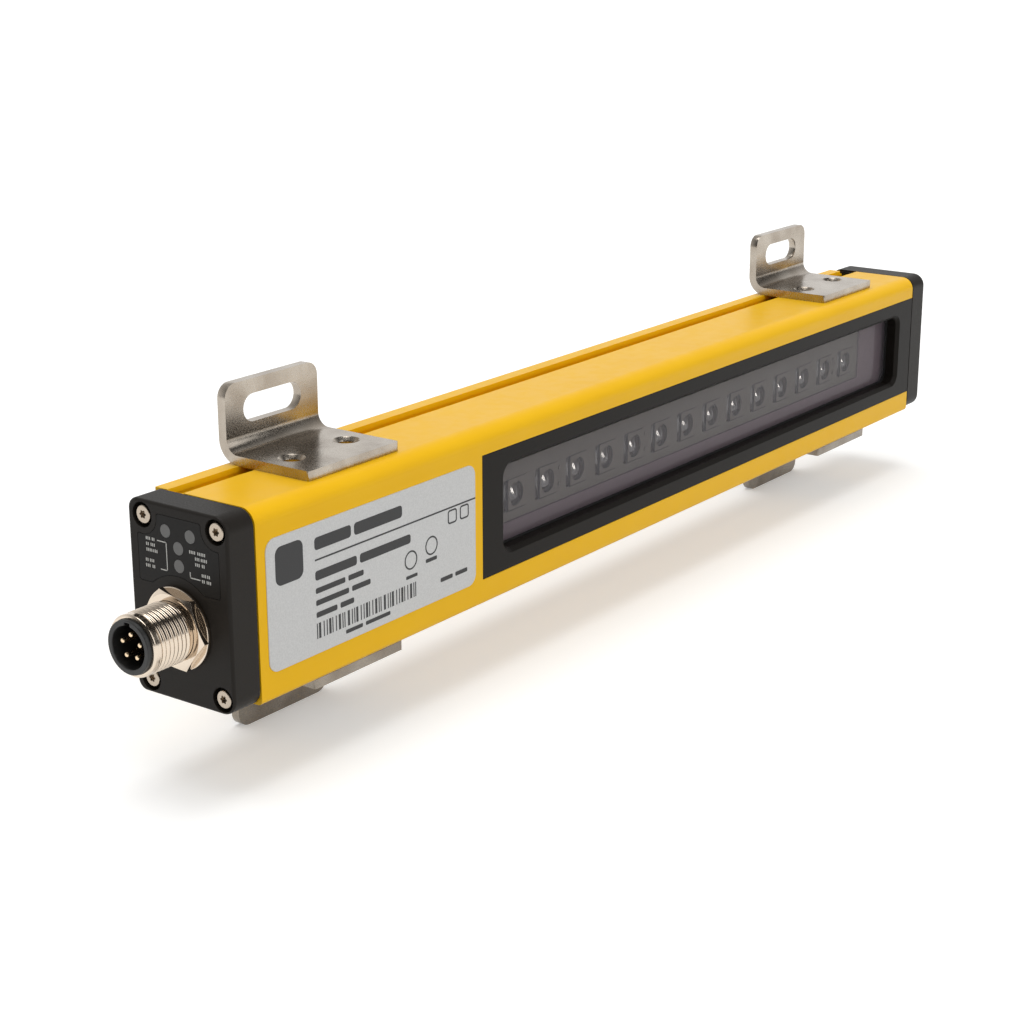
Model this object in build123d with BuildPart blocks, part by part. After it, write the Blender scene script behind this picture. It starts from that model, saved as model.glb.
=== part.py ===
from build123d import *
import os
from math import asin, degrees, sqrt

os.makedirs("parts", exist_ok=True)

# Safety light curtain: one bar of the pair, with its four slot brackets. All sizes are millimetres.
# X runs from the connector cap to the blind cap, the window faces -Y and Z is up.
# The origin is the centre of the four bracket slots, in the plane of the surface behind the bar.
# Every piece is drawn about the middle height of the bar, and finish() lifts it into place.

# Whole bar
bar_length = 283.0
bar_depth = 25.0
bar_height = 38.0
corner_radius = 3.2
lower_radius = 1.0          # the two lower edges of the housing
rail_radius = 0.5           # the upper rear edge of the housing
cap_rear_radius = 2.2       # the two rear corners of the caps
wall_gap = 1.7              # from the back of the housing to the surface it is bolted to
fit_gap = 0.1               # clearance round whatever drops into a recess or a groove

# Housing: an extruded profile with a hooked slot along the top and the bottom
housing_wall = 1.8
slot_rail = 3.2             # metal behind the slot
slot_mouth = 4.2
slot_lip = 1.4
slot_undercut = 3.2         # how far the slot runs forward under its lip
slot_depth = 4.1
slot_wall = 1.4             # metal under and in front of the slot
shelf_depth = 1.1           # the rear of the slot is shallow, over the screw port
shelf_width = 2.4
rail_relief = 2.0           # the rail stops short of the blind cap
rib_thickness = 1.1
rib_height = 2.0

# Cap screws and their ports in the housing
screw_front_inset = 2.9
screw_back_inset = 3.7
screw_edge_inset = 2.95
screw_radius = 1.0
screw_length = 12.0
screw_slack = 0.05          # radial clearance of the thread in its port
screw_hole_slack = 0.25     # radial clearance of the thread in the cap
head_radius = 1.8
head_height = 1.5
head_recess = 0.2
head_edge = 0.3
well_radius = 2.45
socket_radius = 0.62
socket_lobe = 0.22
socket_depth = 0.8
port_wall = 1.35
port_mouth = 1.8            # the rear ports are open to the slot
boss_radius = 3.3

# End caps and their flat seals
near_cap_length = 6.8
far_cap_length = 7.1
cap_face_wall = 2.4
cap_side_wall = 2.0
cap_edge_radius = 0.6
seal_thickness = 0.4
seal_inset = 0.5

# Window: bezel, seal, pane
bezel_start = 75.0          # from the face of the connector cap
bezel_depth = 6.4
bezel_side_border = 8.1
bezel_end_border = 7.8
bezel_edge_border = 4.15    # above and below the opening
opening_radius = 2.5
opening_chamfer = 0.9
ledge_width = 1.5           # what the pane overlaps behind the opening
pane_recess = 3.8
pane_thickness = 1.2
pane_seal_thickness = 0.4
pane_seal_show = 0.35       # how far the seal stands out inside the opening
mask_thickness = 0.3
mask_gap = 0.2              # from the mask to the lens carrier

# Beam optics behind the pane
beam_pitch = 11.73
first_beam = 9.8            # from the near edge of the opening to the first lens
blank_end = 16.0            # least blank stretch between the last lens and the end of the opening
carrier_gap = 0.3
carrier_margin = 8.0        # beyond the first and the last lens
carrier_top_gap = 0.35      # from the top of the carrier to the pocket in the bezel
carrier_drop = 5.6
cell_size = 6.9
cell_depth = 1.3
lens_base = 0.7
lens_radius = 2.45
lens_rise = 0.6
tunnel_radius = 2.0
stake_lens_counts = (2, 5, 13)  # the carrier is staked to the board after this many lenses
stake_radius = 0.9
stake_offset = 1.9
stake_mark_radius = 0.6
stake_mark_height = 0.2

# Boards
board_thickness = 1.6
board_start = 10.5          # from the face of the connector cap
board_end_gap = 3.0
diode_size = 2.2
diode_height = 1.0
driver_count = 5
driver_size = 5.0
driver_height = 1.2
processor_size = 9.0
processor_height = 1.4
processor_place = 48.0
capacitor_radius = 3.0
capacitor_length = 7.0
capacitor_places = (26.0, 34.0)
header_depth = 2.5
header_width = 9.0
header_reach = 4.0          # how far the header runs along the main board
header_clearance = 1.0      # from the header to the roof of the housing's cavity

# Status lights on the connector cap
status_offset = 0.1         # the column of lights is this far in front of the middle
status_spread = 3.1
status_row_shares = (0.735, 0.487, 0.186)   # of the way up from the panel's arc to its top
guide_radius = 1.25
guide_plate = 1.2
guide_margin = 1.9          # above and below the lights
guide_gap = 0.6             # from the guide to the screw bosses
guide_stub_radius = 0.8
guide_stub_gap = 0.2
status_board_place = 5.6    # from the face of the cap to the front of the board
status_board_thickness = 1.0
status_diode_size = 1.6
status_diode_height = 0.8
ledge_reach = 1.4
ledge_length = 7.0
ledge_gap = 0.6             # from the connector's flange to the ledges
overlay_thickness = 0.25
overlay_side_inset = 2.2
overlay_top_inset = 2.0
overlay_bottom = 3.3        # above the middle of the bar
overlay_notch = 3.6
overlay_arc = 9.8
overlay_corner = 0.5

# Round connector with a 12 mm thread
connector_offset = 0.5      # the connector is this far behind the middle
connector_drop = 4.1
thread_radius = 6.0
thread_end = 12.1           # how far the thread stands out of the cap
thread_chamfer = 0.4
thread_relief = 0.3         # the shell is thinner under the nut, the washer and the cap
relief_length = 0.6         # how far the thinner part shows outside the nut
shell_bore = 5.3
flange_radius = 7.8
flange_thickness = 2.0
washer_radius = 8.0
washer_thickness = 0.9
nut_across_flats = 14.0
nut_thickness = 1.4
nut_turn = 68.1             # angle of one corner of the nut
nut_chamfer = 0.5
ring_slack = 0.1            # radial clearance of the cap, washer and nut on the shell
insert_end = 13.0
insert_bore = 4.1
insert_depth = 8.5
key_width = 1.3
key_depth = 0.6
pin_count = 5
pin_circle = 2.3
pin_radius = 0.5
pin_recess = 0.7
pin_tail = 1.4              # past the front of the status board
pin_slack = 0.1
o_ring_radius = 6.85
o_ring_section = 0.45

# Name plate
plate_start = 9.5
plate_gap = 2.6             # from the plate to the bezel
plate_height = 26.0
plate_drop = 0.5
plate_radius = 2.4
plate_thickness = 0.2

# Brackets and the runners that hold them in the slots
bracket_inset = 39.5        # from each end of the bar to the middle of the bracket
bracket_width = 26.6
bracket_thickness = 2.0
bracket_depth = 22.9
bracket_height = 15.5
bracket_bend = 4.75
bracket_corner = 2.9
bracket_nose = 0.5
fixing_slot_length = 16.6
fixing_slot_width = 5.6
fixing_slot_rise = 9.7      # from the housing to the middle of the slot
jack_hole_radius = 2.0
jack_sink_radius = 2.75
jack_hole_inset = 9.0
jack_hole_spacing = 16.0
runner_length = 18.0
runner_gap = 0.2
pad_thickness = 1.9         # between the housing and the two lower brackets
pad_inset = 3.2             # from the back of the housing to the pad
pad_depth = 17.4

# Places worked out from the sizes
near_x = -bar_length / 2
far_x = bar_length / 2
back_y = -wall_gap
front_y = back_y - bar_depth
middle_y = (front_y + back_y) / 2
top_z = bar_height / 2
housing_start = near_x + near_cap_length + seal_thickness
housing_end = far_x - far_cap_length - seal_thickness
housing_length = housing_end - housing_start

mouth_back = back_y - slot_rail
mouth_front = mouth_back - slot_mouth
undercut_front = mouth_front - slot_undercut
channel_back = undercut_front - slot_wall
port_radius = screw_radius + screw_slack
channel_front = front_y + screw_front_inset + port_radius + port_wall
channel_half = top_z - housing_wall
cavity_half = top_z - slot_depth - slot_wall
screw_z = top_z - screw_edge_inset
upper_screws = [(front_y + screw_front_inset, screw_z), (back_y - screw_back_inset, screw_z)]
screw_spots = upper_screws + [(y, -z) for y, z in upper_screws]

board_back = channel_back - fit_gap
board_front = board_back - board_thickness
rib_back = board_front - fit_gap
board_x = near_x + board_start
board_end = housing_end - board_end_gap

bezel_x = near_x + bezel_start
bezel_height = 2 * (cavity_half - fit_gap)
opening_start = bezel_x + bezel_side_border
opening_end = housing_end - bezel_end_border
opening_length = opening_end - opening_start
opening_height = bezel_height - 2 * bezel_edge_border
opening_x = (opening_start + opening_end) / 2
pane_front = front_y + pane_recess
pane_back = pane_front + pane_thickness
ledge_y = pane_front - pane_seal_thickness
pane_length = opening_length + 2 * ledge_width - 2 * fit_gap
pane_height = opening_height + 2 * ledge_width - 2 * fit_gap
pane_radius = opening_radius + ledge_width - fit_gap
carrier_rise = pane_height / 2 + fit_gap - carrier_top_gap

beam_start = opening_start + first_beam
beam_count = 1 + int((opening_end - blank_end - beam_start) / beam_pitch)
beam_places = [beam_start + beam_pitch * i for i in range(beam_count)]
carrier_front = pane_back + carrier_gap
carrier_start = beam_places[0] - carrier_margin
carrier_end = beam_places[-1] + carrier_margin
cell_floor = carrier_front + cell_depth
lens_front = cell_floor - lens_base
dome_radius = (lens_radius**2 + lens_rise**2) / (2 * lens_rise)
dome_angle = degrees(asin(lens_radius / dome_radius))
stake_places = [beam_places[i - 1] + beam_pitch / 2 for i in stake_lens_counts if i < beam_count]
stake_spots = [(x, side * stake_offset) for x in stake_places for side in (1, -1)]

connector_y = middle_y + connector_offset
connector_z = -connector_drop
shank_radius = thread_radius - thread_relief
nut_end = washer_thickness + nut_thickness
connector_axis = Axis((0, connector_y, connector_z), (1, 0, 0))
connector_plane = Plane(origin=(near_x, connector_y, connector_z), x_dir=(1, 0, 0), z_dir=(0, -1, 0))
status_board_x = near_x + status_board_place
status_board_back = status_board_x + status_board_thickness
ledge_z = connector_z + flange_radius + ledge_gap + ledge_length / 2
overlay_top = top_z - overlay_top_inset
arc_top = connector_z + overlay_arc
status_rows = [arc_top + share * (overlay_top - arc_top) for share in status_row_shares]
light_y = middle_y - status_offset
light_spots = [(light_y - status_spread, status_rows[0]), (light_y + status_spread, status_rows[0])]
light_spots += [(light_y, row) for row in status_rows[1:]]

bracket_x = far_x - bracket_inset
bar_lift = pad_thickness / 2    # the middle of the bar is this far above the middle of the bracket slots


def across(x):
    """Sketch plane square to the bar at this x, with its normal towards the blind cap."""
    return Plane.YZ.offset(x)


def facing(y):
    """Sketch plane parallel to the window at this y, with its normal towards the front."""
    return Plane.XZ.offset(-y)


def slot_points(side, gap, neck):
    """Corners of the slot's section on the top (side 1) or bottom (side -1), shrunk by gap.

    The mouth runs on past the housing by the length of the neck.
    """
    return (
        (mouth_front + gap, side * (top_z + neck)),
        (mouth_back - gap, side * (top_z + neck)),
        (mouth_back - gap, side * (top_z - shelf_depth + gap)),
        (mouth_back - shelf_width - gap, side * (top_z - shelf_depth + gap)),
        (mouth_back - shelf_width - gap, side * (top_z - slot_depth + gap)),
        (undercut_front + gap, side * (top_z - slot_depth + gap)),
        (undercut_front + gap, side * (top_z - slot_lip - gap)),
        (mouth_front + gap, side * (top_z - slot_lip - gap)),
    )


def cavity_outline(mode):
    """The inside of the housing: a wide middle and a taller channel between the screw ports and slots."""
    with Locations((middle_y, 0)):
        Rectangle(bar_depth - 2 * housing_wall, 2 * cavity_half, mode=mode)
    with Locations(((channel_front + channel_back) / 2, 0)):
        Rectangle(channel_back - channel_front, 2 * channel_half, mode=mode)


def overlay_outline(gap):
    """The notched status panel, shrunk by gap."""
    width = bar_depth - 2 * overlay_side_inset
    height = overlay_top - overlay_bottom
    with Locations((middle_y, overlay_bottom + height / 2)):
        Rectangle(width - 2 * gap, height - 2 * gap)
    with Locations(*upper_screws):
        Circle(overlay_notch + gap, mode=Mode.SUBTRACT)
    with Locations((connector_y, connector_z)):
        Circle(overlay_arc + gap, mode=Mode.SUBTRACT)


def finish(piece, name):
    """Lift a finished piece into place, label it and write its file."""
    placed = Pos(0, 0, bar_lift) * piece.part
    placed.label = name
    export_step(placed, f"parts/{name}.step")


# Housing: yellow extruded profile, open at the front where the window sits
with BuildPart() as housing:
    with BuildSketch(across(housing_start)):
        with Locations((middle_y, 0)):
            Rectangle(bar_depth, bar_height)
        upper_corners = vertices().group_by(Axis.Y)[-1].sort_by(Axis.X)
        fillet(upper_corners[0], corner_radius)
        fillet(upper_corners[-1], rail_radius)
        fillet(vertices().group_by(Axis.Y)[0], lower_radius)
        cavity_outline(Mode.SUBTRACT)
        with Locations((rib_back - rib_thickness / 2, 0)):
            Rectangle(rib_thickness, 2 * channel_half)
            Rectangle(rib_thickness, 2 * (channel_half - rib_height), mode=Mode.SUBTRACT)
        for side in (1, -1):
            with BuildLine():
                Polyline(*slot_points(side, 0, 0), close=True)
            make_face(mode=Mode.SUBTRACT)
        with Locations(*screw_spots):
            Circle(port_radius, mode=Mode.SUBTRACT)
        for side in (1, -1):
            with Locations((back_y - screw_back_inset, side * (screw_z + top_z - shelf_depth) / 2)):
                Rectangle(port_mouth, top_z - shelf_depth - screw_z, mode=Mode.SUBTRACT)
    extrude(amount=housing_length)
    with BuildSketch(facing(front_y)):
        with Locations(((bezel_x + housing_end) / 2, 0)):
            Rectangle(housing_end - bezel_x, bezel_height + 2 * fit_gap)
    extrude(amount=-housing_wall, mode=Mode.SUBTRACT)
    with BuildSketch(across(housing_end)):
        for side in (1, -1):
            with Locations((mouth_back + slot_rail / 2, side * (top_z - shelf_depth / 2))):
                Rectangle(slot_rail, shelf_depth)
    extrude(amount=-rail_relief, mode=Mode.SUBTRACT)
finish(housing, "housing")

# Connector cap: moulded box lid with four screw wells, the connector hole and the status panel recess
with BuildPart() as connector_end_cap:
    with BuildSketch(across(near_x)):
        with Locations((middle_y, 0)):
            Rectangle(bar_depth, bar_height)
        fillet(vertices().group_by(Axis.X)[0], corner_radius)
        fillet(vertices().group_by(Axis.X)[-1], cap_rear_radius)
    extrude(amount=near_cap_length)
    fillet(connector_end_cap.faces().sort_by(Axis.X)[0].edges(), cap_edge_radius)
    with BuildSketch(across(near_x + cap_face_wall)):
        with Locations((middle_y, 0)):
            Rectangle(bar_depth - 2 * cap_side_wall, bar_height - 2 * cap_side_wall)
        with Locations(*screw_spots):
            Circle(boss_radius, mode=Mode.SUBTRACT)
    extrude(amount=near_cap_length - cap_face_wall, mode=Mode.SUBTRACT)
    with BuildSketch(across(near_x + cap_face_wall)):
        for edge_y, inward in ((front_y, 1), (back_y, -1)):
            with Locations((edge_y + inward * (cap_side_wall + ledge_reach / 2), ledge_z)):
                Rectangle(ledge_reach, ledge_length)
    extrude(amount=status_board_place - cap_face_wall)
    with BuildSketch(across(near_x)):
        with Locations(*screw_spots):
            Circle(well_radius)
    extrude(amount=head_recess + head_height, mode=Mode.SUBTRACT)
    with BuildSketch(across(near_x)):
        with Locations(*screw_spots):
            Circle(screw_radius + screw_hole_slack)
    extrude(amount=near_cap_length, mode=Mode.SUBTRACT)
    with BuildSketch(across(near_x)):
        overlay_outline(0)
        fillet(vertices(), overlay_corner)
    extrude(amount=overlay_thickness, mode=Mode.SUBTRACT)
    with BuildSketch(across(near_x)):
        with Locations((connector_y, connector_z)):
            Circle(shank_radius + ring_slack)
        with Locations(*light_spots):
            Circle(guide_radius + fit_gap)
    extrude(amount=cap_face_wall, mode=Mode.SUBTRACT)
finish(connector_end_cap, "connector_end_cap")

# Blind cap: the same lid with a plain face
with BuildPart() as blind_end_cap:
    with BuildSketch(across(far_x)):
        with Locations((middle_y, 0)):
            Rectangle(bar_depth, bar_height)
        fillet(vertices().group_by(Axis.X)[0], corner_radius)
        fillet(vertices().group_by(Axis.X)[-1], cap_rear_radius)
    extrude(amount=-far_cap_length)
    fillet(blind_end_cap.faces().sort_by(Axis.X)[-1].edges(), cap_edge_radius)
    with BuildSketch(across(far_x - cap_face_wall)):
        with Locations((middle_y, 0)):
            Rectangle(bar_depth - 2 * cap_side_wall, bar_height - 2 * cap_side_wall)
        with Locations(*screw_spots):
            Circle(boss_radius, mode=Mode.SUBTRACT)
    extrude(amount=cap_face_wall - far_cap_length, mode=Mode.SUBTRACT)
    with BuildSketch(across(far_x)):
        with Locations(*screw_spots):
            Circle(well_radius)
    extrude(amount=-head_recess - head_height, mode=Mode.SUBTRACT)
    with BuildSketch(across(far_x)):
        with Locations(*screw_spots):
            Circle(screw_radius + screw_hole_slack)
    extrude(amount=-far_cap_length, mode=Mode.SUBTRACT)
finish(blind_end_cap, "blind_end_cap")

# Flat seals between the caps and the housing, set in a little from the outside
for seal_name, seal_x in (("near_cap_seal", housing_start - seal_thickness), ("far_cap_seal", housing_end)):
    with BuildPart() as seal:
        with BuildSketch(across(seal_x)):
            with Locations((middle_y, 0)):
                RectangleRounded(
                    bar_depth - 2 * seal_inset, bar_height - 2 * seal_inset, corner_radius - seal_inset
                )
            cavity_outline(Mode.SUBTRACT)
            with Locations(*screw_spots):
                Circle(screw_radius + screw_hole_slack, mode=Mode.SUBTRACT)
        extrude(amount=seal_thickness)
    finish(seal, seal_name)

# Cap screws: four at each end, with a six-lobed socket
for screws_name, face_x, inward in (("near_cap_screws", near_x, 1), ("far_cap_screws", far_x, -1)):
    head_x = face_x + inward * head_recess
    with BuildPart() as cap_screws:
        with BuildSketch(across(head_x)):
            with Locations(*screw_spots):
                Circle(head_radius)
        extrude(amount=inward * head_height)
        head_faces = cap_screws.faces().group_by(Axis.X)[0 if inward > 0 else -1]
        fillet(head_faces.edges(), head_edge)
        with BuildSketch(across(head_x + inward * head_height)):
            with Locations(*screw_spots):
                Circle(screw_radius)
        extrude(amount=inward * screw_length)
        with BuildSketch(across(head_x)):
            with Locations(*screw_spots):
                Circle(socket_radius)
                with PolarLocations(socket_radius, 6):
                    Circle(socket_lobe)
        extrude(amount=inward * socket_depth, mode=Mode.SUBTRACT)
    finish(cap_screws, screws_name)

# Window bezel: black frame that slides in from the blind end, with a ledge for the pane behind its opening
with BuildPart() as window_bezel:
    with BuildSketch(facing(front_y)):
        with Locations(((bezel_x + fit_gap + housing_end) / 2, 0)):
            Rectangle(housing_end - bezel_x - fit_gap, bezel_height)
        with Locations((opening_x, 0)):
            RectangleRounded(opening_length, opening_height, opening_radius, mode=Mode.SUBTRACT)
    extrude(amount=-bezel_depth)
    opening_rim = window_bezel.faces().sort_by(Axis.Y)[0].inner_wires()[0]
    chamfer(opening_rim.edges(), opening_chamfer)
    with BuildSketch(facing(ledge_y)):
        with Locations((opening_x, 0)):
            RectangleRounded(
                pane_length + 2 * fit_gap, pane_height + 2 * fit_gap, pane_radius + fit_gap
            )
    extrude(amount=ledge_y - front_y - bezel_depth, mode=Mode.SUBTRACT)
finish(window_bezel, "window_bezel")

# Seal between the ledge and the pane
with BuildPart() as pane_seal:
    with BuildSketch(facing(ledge_y)):
        with Locations((opening_x, 0)):
            RectangleRounded(pane_length, pane_height, pane_radius)
            RectangleRounded(
                opening_length - 2 * pane_seal_show,
                opening_height - 2 * pane_seal_show,
                opening_radius - pane_seal_show,
                mode=Mode.SUBTRACT,
            )
    extrude(amount=-pane_seal_thickness)
finish(pane_seal, "window_seal")

# Smoked pane
with BuildPart() as window_pane:
    with BuildSketch(facing(pane_front)):
        with Locations((opening_x, 0)):
            RectangleRounded(pane_length, pane_height, pane_radius)
    extrude(amount=-pane_thickness)
finish(window_pane, "window_pane")

# Mask on the back of the pane: hides the inside of the housing beside and below the lens carrier
with BuildPart() as window_mask:
    mask_way = pane_height + carrier_drop + mask_gap
    with BuildSketch(facing(pane_back)):
        with Locations((opening_x, 0)):
            RectangleRounded(pane_length, pane_height, pane_radius)
        with Locations(((carrier_start + carrier_end) / 2, pane_height - mask_way / 2)):
            Rectangle(carrier_end - carrier_start + 2 * mask_gap, mask_way, mode=Mode.SUBTRACT)
    extrude(amount=-mask_thickness)
finish(window_mask, "window_mask")

# Lens carrier: moulded block with a square cell and a light tunnel for each beam, staked to the main board
with BuildPart() as lens_carrier:
    with BuildSketch(facing(carrier_front)):
        with Locations(((carrier_start + carrier_end) / 2, (carrier_rise - carrier_drop) / 2)):
            Rectangle(carrier_end - carrier_start, carrier_rise + carrier_drop)
    extrude(amount=carrier_front - board_front)
    with BuildSketch(facing(carrier_front)):
        for x in beam_places:
            with Locations((x, 0)):
                Rectangle(cell_size, cell_size)
    extrude(amount=-cell_depth, mode=Mode.SUBTRACT)
    with BuildSketch(facing(cell_floor)):
        for x in beam_places:
            with Locations((x, 0)):
                Circle(tunnel_radius)
    extrude(amount=cell_floor - board_front, mode=Mode.SUBTRACT)
    with BuildSketch(facing(board_front)):
        with Locations(*stake_spots):
            Circle(stake_radius)
    extrude(amount=-board_thickness)
    with BuildSketch(facing(carrier_front)):
        with Locations(*stake_spots):
            Circle(stake_mark_radius)
    extrude(amount=stake_mark_height)
finish(lens_carrier, "lens_carrier")

# One lens: a square foot with a round dome, set in each cell
with BuildPart() as one_lens:
    with Locations((0, lens_front + lens_base / 2, 0)):
        Box(cell_size - 2 * fit_gap, lens_base, cell_size - 2 * fit_gap)
    with BuildSketch(Plane.XY):
        with BuildLine():
            CenterArc((0, lens_front - lens_rise + dome_radius), dome_radius, -90, dome_angle)
            Line((lens_radius, lens_front), (0, lens_front))
            Line((0, lens_front), (0, lens_front - lens_rise))
        make_face()
    revolve(axis=Axis.Y)
with BuildPart() as collimating_lenses:
    for x in beam_places:
        with Locations((x, 0, 0)):
            add(one_lens.part)
finish(collimating_lenses, "collimating_lenses")

# Main board: slides in the grooves between the ribs and the slot walls
with BuildPart() as main_board:
    with BuildSketch(facing(board_front)):
        with Locations(((board_x + board_end) / 2, 0)):
            Rectangle(board_end - board_x, 2 * (channel_half - fit_gap))
        with Locations(*stake_spots):
            Circle(stake_radius + fit_gap, mode=Mode.SUBTRACT)
    extrude(amount=-board_thickness)
finish(main_board, "main_board")

# Beam diodes on the front of the main board, one in each light tunnel
with BuildPart() as beam_diodes:
    with BuildSketch(facing(board_front)):
        for x in beam_places:
            with Locations((x, 0)):
                Rectangle(diode_size, diode_size)
    extrude(amount=diode_height)
finish(beam_diodes, "beam_diodes")

# Chips on the back of the main board: drivers spread along the beams, the processor and two capacitors
with BuildPart() as driver_chips:
    with BuildSketch(facing(board_back)):
        for i in range(driver_count):
            driver_x = beam_places[0] + (beam_places[-1] - beam_places[0]) * i / (driver_count - 1)
            with Locations((driver_x, 0)):
                Rectangle(driver_size, driver_size)
    extrude(amount=-driver_height)
finish(driver_chips, "driver_chips")

with BuildPart() as processor_chip:
    with BuildSketch(facing(board_back)):
        with Locations((near_x + processor_place, 0)):
            Rectangle(processor_size, processor_size)
    extrude(amount=-processor_height)
finish(processor_chip, "processor_chip")

with BuildPart() as board_capacitors:
    with BuildSketch(facing(board_back)):
        for place in capacitor_places:
            with Locations((near_x + place, 0)):
                Circle(capacitor_radius)
    extrude(amount=-capacitor_length)
finish(board_capacitors, "board_capacitors")

# Header that joins the status board to the main board
with BuildPart() as board_header:
    with BuildSketch(across(status_board_back)):
        with Locations((board_back + header_depth / 2, cavity_half - header_clearance - header_width / 2)):
            Rectangle(header_depth, header_width)
    extrude(amount=board_x + header_reach - status_board_back)
finish(board_header, "board_header")

# Status board: inside the connector cap, on two ledges, with holes for the connector pins
with BuildPart() as status_board:
    with BuildSketch(across(status_board_x)):
        with Locations((middle_y, 0)):
            Rectangle(
                bar_depth - 2 * (cap_side_wall + fit_gap), bar_height - 2 * (cap_side_wall + fit_gap)
            )
        with Locations(*screw_spots):
            Circle(boss_radius + fit_gap, mode=Mode.SUBTRACT)
        with Locations((connector_y, connector_z)):
            with PolarLocations(pin_circle, pin_count, start_angle=90):
                Circle(pin_radius + pin_slack, mode=Mode.SUBTRACT)
    extrude(amount=status_board_thickness)
finish(status_board, "status_board")

with BuildPart() as status_diodes:
    with BuildSketch(across(status_board_x)):
        with Locations(*light_spots):
            Rectangle(status_diode_size, status_diode_size)
    extrude(amount=-status_diode_height)
finish(status_diodes, "status_diodes")

# Light guide: one clear moulding, with a window through the cap and a stub to the diode at each spot
with BuildPart() as light_guide:
    guide_low = min(status_rows) - guide_margin
    guide_high = max(status_rows) + guide_margin
    guide_front = front_y + screw_front_inset + boss_radius + guide_gap
    guide_back = back_y - screw_back_inset - boss_radius - guide_gap
    with BuildSketch(across(near_x + cap_face_wall)):
        with Locations(((guide_front + guide_back) / 2, (guide_low + guide_high) / 2)):
            Rectangle(guide_back - guide_front, guide_high - guide_low)
    extrude(amount=guide_plate)
    with BuildSketch(across(near_x)):
        with Locations(*light_spots):
            Circle(guide_radius)
    extrude(amount=cap_face_wall)
    stub_start = near_x + cap_face_wall + guide_plate
    stub_end = status_board_x - status_diode_height - guide_stub_gap
    with BuildSketch(across(stub_start)):
        with Locations(*light_spots):
            Circle(guide_stub_radius)
    extrude(amount=stub_end - stub_start)
finish(light_guide, "status_light_guide")

# Status panel: thin printed sheet, flush in its recess
with BuildPart() as status_overlay:
    with BuildSketch(across(near_x)):
        overlay_outline(fit_gap)
        fillet(vertices(), overlay_corner)
        with Locations(*light_spots):
            Circle(guide_radius + fit_gap / 2, mode=Mode.SUBTRACT)
    extrude(amount=overlay_thickness)
finish(status_overlay, "status_overlay")

# Connector shell: threaded tube with a flange inside the cap, and a groove for the o-ring in the flange
with BuildPart() as connector_shell:
    with BuildSketch(connector_plane):
        with BuildLine():
            Polyline(
                (-thread_end, shell_bore),
                (-thread_end, thread_radius - thread_chamfer),
                (thread_chamfer - thread_end, thread_radius),
                (-nut_end - relief_length, thread_radius),
                (-nut_end - relief_length, shank_radius),
                (cap_face_wall, shank_radius),
                (cap_face_wall, flange_radius),
                (cap_face_wall + flange_thickness, flange_radius),
                (cap_face_wall + flange_thickness, shell_bore),
                close=True,
            )
        make_face()
        with Locations((cap_face_wall + o_ring_section, o_ring_radius)):
            Rectangle(2 * o_ring_section, 2 * o_ring_section + fit_gap, mode=Mode.SUBTRACT)
    revolve(axis=connector_axis)
finish(connector_shell, "connector_shell")

with BuildPart() as connector_o_ring:
    with BuildSketch(connector_plane):
        with Locations((cap_face_wall + o_ring_section, o_ring_radius)):
            Circle(o_ring_section)
    revolve(axis=connector_axis)
finish(connector_o_ring, "connector_o_ring")

with BuildPart() as connector_washer:
    with BuildSketch(across(near_x)):
        with Locations((connector_y, connector_z)):
            Circle(washer_radius)
            Circle(shank_radius + ring_slack, mode=Mode.SUBTRACT)
    extrude(amount=-washer_thickness)
finish(connector_washer, "connector_washer")

# Hexagon nut: the outer corners are turned off at an angle
with BuildPart() as connector_nut:
    nut_corner = nut_across_flats / sqrt(3)
    with BuildSketch(across(near_x - washer_thickness)):
        with Locations((connector_y, connector_z)):
            RegularPolygon(nut_across_flats / 2, 6, major_radius=False, rotation=nut_turn)
    extrude(amount=-nut_thickness)
    with BuildSketch(connector_plane):
        with BuildLine():
            Polyline(
                (-nut_end, shank_radius + ring_slack),
                (-nut_end, nut_across_flats / 2),
                (nut_chamfer - nut_end, nut_corner + fit_gap),
                (-washer_thickness, nut_corner + fit_gap),
                (-washer_thickness, shank_radius + ring_slack),
                close=True,
            )
        make_face()
    revolve(axis=connector_axis, mode=Mode.INTERSECT)
finish(connector_nut, "connector_nut")

# Insulating insert: a cup with a keyway at the top, and a hole for each pin in its floor
with BuildPart() as connector_insert:
    with BuildSketch(across(near_x - insert_end)):
        with Locations((connector_y, connector_z)):
            Circle(shell_bore - ring_slack)
    extrude(amount=insert_end + cap_face_wall + flange_thickness)
    with BuildSketch(across(near_x - insert_end)):
        with Locations((connector_y, connector_z)):
            Circle(insert_bore)
        with Locations((connector_y, connector_z + (insert_bore + key_depth) / 2)):
            Rectangle(key_width, insert_bore + key_depth)
    extrude(amount=insert_depth, mode=Mode.SUBTRACT)
    with BuildSketch(across(near_x - insert_end)):
        with Locations((connector_y, connector_z)):
            with PolarLocations(pin_circle, pin_count, start_angle=90):
                Circle(pin_radius)
    extrude(amount=insert_end + cap_face_wall + flange_thickness, mode=Mode.SUBTRACT)
finish(connector_insert, "connector_insert")

with BuildPart() as connector_pins:
    with BuildSketch(across(near_x - insert_end + pin_recess)):
        with Locations((connector_y, connector_z)):
            with PolarLocations(pin_circle, pin_count, start_angle=90):
                Circle(pin_radius)
    extrude(amount=insert_end - pin_recess + status_board_place + pin_tail)
    pin_tips = connector_pins.faces().group_by(Axis.X)[0]
    fillet(pin_tips.edges(), pin_radius / 2)
finish(connector_pins, "connector_pins")

# Name plate on the front of the housing
with BuildPart() as name_plate:
    plate_length = bezel_start - plate_gap - plate_start
    with BuildSketch(facing(front_y)):
        with Locations((near_x + plate_start + plate_length / 2, -plate_drop)):
            RectangleRounded(plate_length, plate_height, plate_radius)
    extrude(amount=plate_thickness)
finish(name_plate, "name_plate")

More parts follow.
